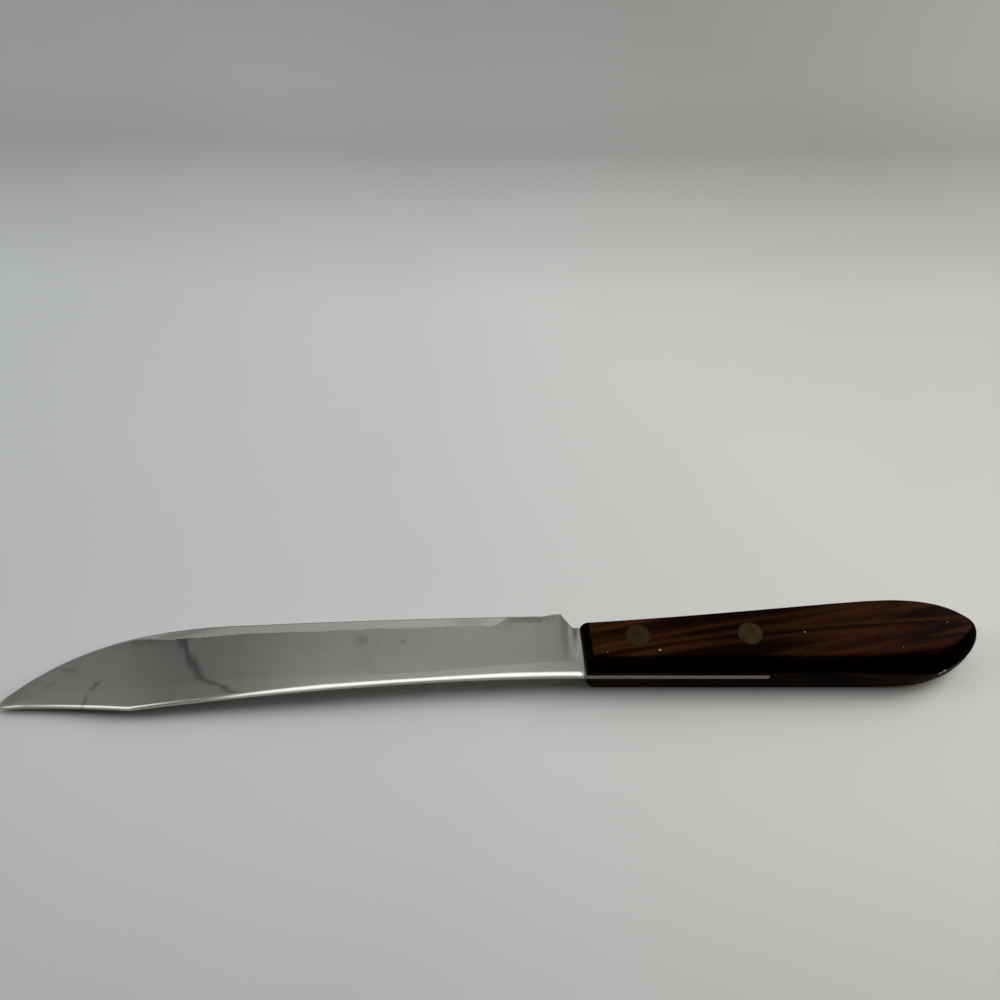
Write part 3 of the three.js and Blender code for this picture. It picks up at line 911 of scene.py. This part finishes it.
def rivetTree():
    tree = bpy.data.node_groups.new("halfRivet", "GeometryNodeTree")
    inputs = {
        "NodeSocketGeometry": ["Geometry"],
        "NodeSocketFloat": [
            "Head Radius", "Head Thickness", "Shank Radius", "Shank Length", "Bore Radius", "Bore Depth",
            "Wear", "Face Limit"],
        "NodeSocketVector": ["Head Place", "Shank Place", "Bore Place", "Turn"],
        "NodeSocketInt": ["Sides"],
        "NodeSocketMaterial": ["Metal"],
    }
    for kind, names in inputs.items():
        for name in names:
            tree.interface.new_socket(name, in_out="INPUT", socket_type=kind)
    tree.interface.new_socket("Geometry", in_out="OUTPUT", socket_type="NodeSocketGeometry")
    given = addNode(tree, "NodeGroupInput").outputs

    # the head's outer face lies at the origin and the shank goes down from it
    head = addNode(tree, "GeometryNodeMeshCylinder", {
        "Vertices": given["Sides"], "Side Segments": 1, "Fill Segments": 6,
        "Radius": given["Head Radius"], "Depth": given["Head Thickness"]})
    shank = addNode(tree, "GeometryNodeMeshCylinder", {
        "Vertices": given["Sides"], "Radius": given["Shank Radius"], "Depth": given["Shank Length"]})
    bore = addNode(tree, "GeometryNodeMeshCylinder", {
        "Vertices": given["Sides"], "Radius": given["Bore Radius"], "Depth": given["Bore Depth"]})
    placedHead = addNode(tree, "GeometryNodeTransform", {
        "Geometry": head.outputs[0], "Translation": given["Head Place"]})
    placedShank = addNode(tree, "GeometryNodeTransform", {
        "Geometry": shank.outputs[0], "Translation": given["Shank Place"]})
    placedBore = addNode(tree, "GeometryNodeTransform", {
        "Geometry": bore.outputs[0], "Translation": given["Bore Place"]})
    body = addNode(tree, "GeometryNodeMeshBoolean", {
        "Mesh 2": placedHead.outputs[0]}, operation="UNION", solver="EXACT")
    tree.links.new(placedShank.outputs[0], body.inputs["Mesh 2"])
    hollow = addNode(tree, "GeometryNodeMeshBoolean", {
        "Mesh 1": body.outputs[0], "Mesh 2": placedBore.outputs[0]},
        operation="DIFFERENCE", solver="EXACT")

    # the head is worn slightly lower towards its rim
    position = addNode(tree, "GeometryNodeInputPosition").outputs[0]
    parts = addNode(tree, "ShaderNodeSeparateXYZ", {0: position}).outputs
    flat = addNode(tree, "ShaderNodeCombineXYZ", {"X": parts["X"], "Y": parts["Y"]}).outputs[0]
    radius = addNode(tree, "ShaderNodeVectorMath", {0: flat}, operation="LENGTH").outputs["Value"]
    share = addNode(tree, "ShaderNodeMath", {0: radius, 1: given["Head Radius"]}, operation="DIVIDE")
    fall = addNode(tree, "ShaderNodeMath", {0: share.outputs[0], 1: 2}, operation="POWER")
    drop = addNode(tree, "ShaderNodeMath", {0: fall.outputs[0], 1: given["Wear"]}, operation="MULTIPLY")
    offset = addNode(tree, "ShaderNodeCombineXYZ", {"Z": drop.outputs[0]})
    onFace = addNode(tree, "FunctionNodeCompare", {
        0: parts["Z"], 1: given["Face Limit"]}, data_type="FLOAT", operation="GREATER_THAN")
    worn = addNode(tree, "GeometryNodeSetPosition", {
        "Geometry": hollow.outputs[0], "Selection": onFace.outputs[0], "Offset": offset.outputs[0]})

    placed = addNode(tree, "GeometryNodeInstanceOnPoints", {
        "Points": given["Geometry"], "Instance": worn.outputs[0], "Rotation": given["Turn"]})
    realised = addNode(tree, "GeometryNodeRealizeInstances", {0: placed.outputs[0]})
    finished = addNode(tree, "GeometryNodeSetMaterial", {
        "Geometry": realised.outputs[0], "Material": given["Metal"]})
    addNode(tree, "NodeGroupOutput", {"Geometry": finished.outputs[0]})
    return tree


def halfRivetSizes(shankDiameter, boreDiameter, boreDepth, turn):
    r = rivetShape
    head = r["headThickness"]
    shank = shankRoom + head / 2  # its end is sunk into the head
    return {
        "Head Radius": r["headDiameter"] / 2 * mm, "Head Thickness": head * mm,
        "Shank Radius": shankDiameter / 2 * mm, "Shank Length": shank * mm,
        "Bore Radius": boreDiameter / 2 * mm, "Bore Depth": boreDepth * mm,
        "Wear": -r["crown"] * mm, "Face Limit": -head / 4 * mm,
        "Head Place": (0.0, 0.0, -head / 2 * mm),
        "Shank Place": (0.0, 0.0, -(head + shank) / 2 * mm),
        "Bore Place": (0.0, 0.0, -(head / 2 + shank) * mm),
        "Turn": (turn, 0.0, 0.0), "Sides": r["sides"], "Metal": brass}


def makeRivets(name, tree, sizes, faceHeight):
    points = bmesh.new()
    for x, y in rivetPlaces():
        points.verts.new(place(x, y, faceHeight))
    mesh = bpy.data.meshes.new(name)
    points.to_mesh(mesh)
    points.free()
    rivets = newPiece(name, mesh, brass)
    modifier = rivets.modifiers.new("halfRivets", "NODES")
    modifier.node_group = tree
    for item in tree.interface.items_tree:
        if item.in_out == "INPUT" and item.name in sizes:
            modifier[item.identifier] = sizes[item.name]
    settle(rivets)
    bm = bmesh.new()
    bm.from_mesh(rivets.data)
    bmesh.ops.remove_doubles(bm, verts=bm.verts, dist=weldDistance)
    for face in bm.faces:
        face.smooth = face.normal.z ** 2 < rivetShape["flatNormal"]
    bm.to_mesh(rivets.data)
    bm.free()
    return rivets


blade = makeBlade()
print("blade made", len(blade.data.polygons))
handle = makeHandle()
print("handle made", len(handle.data.polygons))

r = rivetShape
faceHeight = h["thickness"] / 2
shankRoom = 2 * (faceHeight - r["headThickness"]) - r["endGap"]
halfRivet = rivetTree()
tubeSizes = halfRivetSizes(r["tubeDiameter"], r["boreDiameter"], 2 * shankRoom, 0.0)
pinSizes = halfRivetSizes(r["pinDiameter"], r["dimpleDiameter"], r["endGap"], math.pi)
tubeRivets = makeRivets("tubeRivets", halfRivet, tubeSizes, faceHeight)
pinRivets = makeRivets("pinRivets", halfRivet, pinSizes, -faceHeight)
print("rivets made", len(tubeRivets.data.polygons), len(pinRivets.data.polygons))

for piece, slotName, nodes in (
        (blade, "steel", ["blade"]),
        (handle, "rosewood", ["handle"]),
        (tubeRivets, "brass", ["front_rivet_tube", "rear_rivet_tube"]),
        (pinRivets, "brass", ["front_rivet_pin", "rear_rivet_pin"])):
    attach(piece, "root")
    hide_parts(*nodes)


# Floor: pale paper under the knife, which lies on the flat of its handle with the blade clear of it

floorShape = {
    "size": 3000,
    "sweepStart": 190,  # behind the knife the paper curves up
    "sweepRadius": 500,
    "sweepAngle": 60,
    "curveSteps": 40,
    # painted light and shade: the paper is warmer and brighter towards the right, darker on the left
    "paper": "d8dcda",
    "paperInWarmerLight": "d8d6d1",
    "roughness": 0.9,
    "gloss": 0.1,
    "leftShadeLevel": 0.87,
    "leftShadeUntil": 0.5,  # share of the way from the left to the right
    "leftShadeReach": 290,
    "mottleSize": 60,
    "mottleRange": (0.98, 1.02),
    "tipRise": 6.5,  # the paper is a little higher under the tip
    "riseStart": -70,
    "riseEnd": -205,
    "toneStart": -120,  # the light falls off towards the front and the back
    "toneEnd": 330,
    "tones": [
        (0.06, 0.95), (0.15, 1.02), (0.21, 1.045), (0.36, 1.05), (0.55, 1.07), (0.69, 1.08),
        (0.76, 1.0), (0.83, 0.9), (0.91, 0.71), (1.0, 0.8)],
    "backCornerShadeStart": 170,  # x and y together, so this is painted shade in the far right corner
    "backCornerShadeEnd": 430,
    "backCornerShade": 0.72,
}


def palePaper():
    f = floorShape
    material, tree, shader = newMaterial("palePaper")
    where = addNode(tree, "ShaderNodeTexCoord").outputs["Object"]
    mottle = addNode(tree, "ShaderNodeTexNoise", {
        "Vector": where, "Scale": perMm(f["mottleSize"]), "Detail": 2})
    parts = addNode(tree, "ShaderNodeSeparateXYZ", {0: where}).outputs
    # painted shade darkens the left, and the right is tinted as if in warmer light
    reach = f["leftShadeReach"] * mm
    toRight = addNode(tree, "ShaderNodeMapRange", {
        "Value": parts["X"], "From Min": frontX - reach, "From Max": frontX + reach},
        interpolation_type="SMOOTHSTEP").outputs[0]
    leftShade = addNode(tree, "ShaderNodeMapRange", {
        "Value": toRight, "From Max": f["leftShadeUntil"], "To Min": f["leftShadeLevel"], "To Max": 1})
    paper = addNode(tree, "ShaderNodeMixRGB", {
        "Fac": toRight, "Color1": colour(f["paper"]), "Color2": colour(f["paperInWarmerLight"])})
    along = addNode(tree, "ShaderNodeMapRange", {
        "Value": parts["Y"],
        "From Min": spineY + f["toneStart"] * mm, "From Max": spineY + f["toneEnd"] * mm})
    fade = addNode(tree, "ShaderNodeValToRGB", {"Fac": along.outputs[0]}, stops=greys(f["tones"]))
    corner = addNode(tree, "ShaderNodeMath", {0: parts["X"], 1: parts["Y"]})
    # painted shade in the far right corner
    backCornerShade = addNode(tree, "ShaderNodeMapRange", {
        "Value": corner.outputs[0], "From Min": frontX + spineY + f["backCornerShadeStart"] * mm,
        "From Max": frontX + spineY + f["backCornerShadeEnd"] * mm, "To Min": 1, "To Max": f["backCornerShade"]})
    uneven = addNode(tree, "ShaderNodeMapRange", {
        "Value": mottle.outputs[0], "To Min": f["mottleRange"][0], "To Max": f["mottleRange"][1]})
    level = fade.outputs[0]
    for share in (uneven, leftShade, backCornerShade):
        level = addNode(tree, "ShaderNodeMath", {
            0: level, 1: share.outputs[0]}, operation="MULTIPLY").outputs[0]
    tone = addNode(tree, "ShaderNodeHueSaturation", {"Value": level, "Color": paper.outputs[0]})
    wire(tree, shader, {
        "Base Color": tone.outputs[0], "Roughness": f["roughness"], "Specular IOR Level": f["gloss"]})
    return material


def makeFloor():
    f = floorShape
    side, steps = f["size"], f["curveSteps"]
    profile = [(-side, 0)]
    for i in range(steps + 1):
        turn = math.radians(f["sweepAngle"]) * i / steps
        rise = f["sweepRadius"] * (1 - math.cos(turn))
        profile.append((f["sweepStart"] + f["sweepRadius"] * math.sin(turn), rise))
    columns = [blend(f["riseEnd"], f["riseStart"], i / steps) for i in range(steps + 1)]
    columns = [-side] + columns + [side]
    bm = bmesh.new()
    rows = []
    for y, rise in profile:
        row = []
        for x in columns:
            tipRise = f["tipRise"] * easeBetween(x, f["riseStart"], f["riseEnd"])
            row.append(bm.verts.new(place(x, y, rise + tipRise - h["thickness"] / 2)))
        rows.append(row)
    for row, following in zip(rows, rows[1:]):
        for i in range(len(columns) - 1):
            bm.faces.new((row[i], row[i + 1], following[i + 1], following[i])).smooth = True
    floor = newPiece("floor", meshFrom("floor", bm), palePaper())


makeFloor()


# Light: a soft room that is brightest overhead, with one lamp on the left and two on the right

lightSetup = {
    "worldStrength": 1.0,
    "sweep": [  # radiance from the back of the room over the top to the front
        (0.0, 0.2), (0.1, 0.5), (0.18, 0.9), (0.25, 0.8), (0.275, 0.52), (0.29, 0.47), (0.32, 0.42),
        (0.35, 0.55), (0.385, 0.6), (0.42, 0.5), (0.5, 0.4), (0.54, 0.12), (0.7, 0.03), (1.0, 0.02)],
    "across": [  # share of it from the left of the room to the right
        (0.0, 0.5), (0.29, 0.54), (0.32, 0.5), (0.345, 0.39), (0.375, 0.49), (0.41, 0.75), (0.45, 0.89),
        (0.48, 0.95), (0.51, 0.92), (0.55, 0.58), (0.65, 0.42), (0.8, 0.4), (1.0, 0.5)],
    "seam": [  # a dark upright line far back on the left, by azimuth
        (0.0, 0.95), (0.31, 0.95), (0.3213, 0.89), (0.3225, 0.33), (0.324, 0.04), (0.3246, 1.0),
        (1.0, 1.0)],
    "overhead": [  # a long bright ceiling light from left to right, on the same scale as the sweep
        (0.0, 0.0), (0.395, 0.0), (0.415, 0.8), (0.445, 1.6), (0.485, 1.5), (0.51, 1.0), (0.535, 0.0),
        (1.0, 0.0)],
    "overheadAcross": [  # its length and a gap in it
        (0.0, 0.0), (0.18, 0.0), (0.26, 0.15), (0.29, 0.3), (0.305, 0.85), (0.35, 0.85), (0.3625, 0.2),
        (0.375, 0.08), (0.387, 0.13), (0.3935, 0.5), (0.402, 0.9), (0.58, 1.0), (0.68, 0.0), (1.0, 0.0)],
    "lamps": [  # azimuth from the back towards the right, elevation, watts
        (-83, 35, 1.8), (62, 40, 3.2), (83, 26, 2.2)],
    "lampSize": 400,
    "lampDistance": 900,
}


def makeLight():
    s = lightSetup
    world = bpy.data.worlds.new("softRoom")
    bpy.context.scene.world = world
    world.use_nodes = True
    tree = world.node_tree
    direction = addNode(tree, "ShaderNodeTexCoord").outputs["Generated"]
    parts = addNode(tree, "ShaderNodeSeparateXYZ", {0: direction}).outputs
    angle = addNode(tree, "ShaderNodeMath", {0: parts["Z"], 1: parts["Y"]}, operation="ARCTAN2")
    turn = addNode(tree, "ShaderNodeMath", {0: angle.outputs[0], 1: math.pi}, operation="DIVIDE")
    sideways = addNode(tree, "ShaderNodeMapRange", {"Value": parts["X"], "From Min": -1, "From Max": 1})
    azimuth = addNode(tree, "ShaderNodeMath", {0: parts["X"], 1: parts["Y"]}, operation="ARCTAN2")
    bearing = addNode(tree, "ShaderNodeMapRange", {
        "Value": azimuth.outputs[0], "From Min": -math.pi / 2, "From Max": math.pi / 2})
    shades = {}
    for name, measure in (
            ("sweep", turn), ("across", sideways), ("seam", bearing),
            ("overhead", turn), ("overheadAcross", sideways)):
        shades[name] = addNode(
            tree, "ShaderNodeValToRGB", {"Fac": measure.outputs[0]}, stops=greys(s[name])).outputs[0]
    room = addNode(tree, "ShaderNodeMixRGB", {
        "Fac": 1, "Color1": shades["sweep"], "Color2": shades["across"]}, blend_type="MULTIPLY")
    seamed = addNode(tree, "ShaderNodeMixRGB", {
        "Fac": 1, "Color1": room.outputs[0], "Color2": shades["seam"]}, blend_type="MULTIPLY")
    ceiling = addNode(tree, "ShaderNodeMixRGB", {
        "Fac": 1, "Color1": shades["overhead"], "Color2": shades["overheadAcross"]}, blend_type="MULTIPLY")
    light = addNode(tree, "ShaderNodeMixRGB", {
        "Fac": 1, "Color1": seamed.outputs[0], "Color2": ceiling.outputs[0]}, blend_type="ADD")
    wire(tree, tree.nodes["Background"], {"Color": light.outputs[0], "Strength": s["worldStrength"]})
    middle = place(0, 0, 0)
    for azimuth, elevation, watts in s["lamps"]:
        a, e = math.radians(azimuth), math.radians(elevation)
        towards = Vector((math.sin(a) * math.cos(e), math.cos(a) * math.cos(e), math.sin(e)))
        data = bpy.data.lights.new("softLamp", "AREA")
        data.energy = watts
        data.shape = "SQUARE"
        data.size = s["lampSize"] * mm
        lamp = bpy.data.objects.new("softLamp", data)
        lamp.location = middle + towards * s["lampDistance"] * mm
        lamp.rotation_euler = (-towards).to_track_quat("-Z", "Y").to_euler()
        bpy.context.scene.collection.objects.link(lamp)


makeLight()


# Camera: above the spine side, looking down at the knife

cameraPlace = {
    "along": -27.4,
    "behindSpine": 149.2,
    "height": 296.9,
    "downwards": 53.3,
    "focalPixels": 1003,
    "framePixels": 1000,
    "sensor": 36,
    "clipStart": 10,
}


def makeCamera():
    c = cameraPlace
    data = bpy.data.cameras.new("photoCamera")
    data.sensor_width = c["sensor"]
    data.lens = c["sensor"] * c["focalPixels"] / c["framePixels"]
    data.clip_start = c["clipStart"] * mm
    camera = bpy.data.objects.new("photoCamera", data)
    camera.location = place(c["along"], -c["behindSpine"], c["height"])
    camera.rotation_euler = (math.radians(90 - c["downwards"]), 0, 0)
    bpy.context.scene.collection.objects.link(camera)
    bpy.context.scene.camera = camera


makeCamera()
bpy.context.scene.view_settings.view_transform = "Standard"
print("stage made")

bpy.context.view_layer.update()
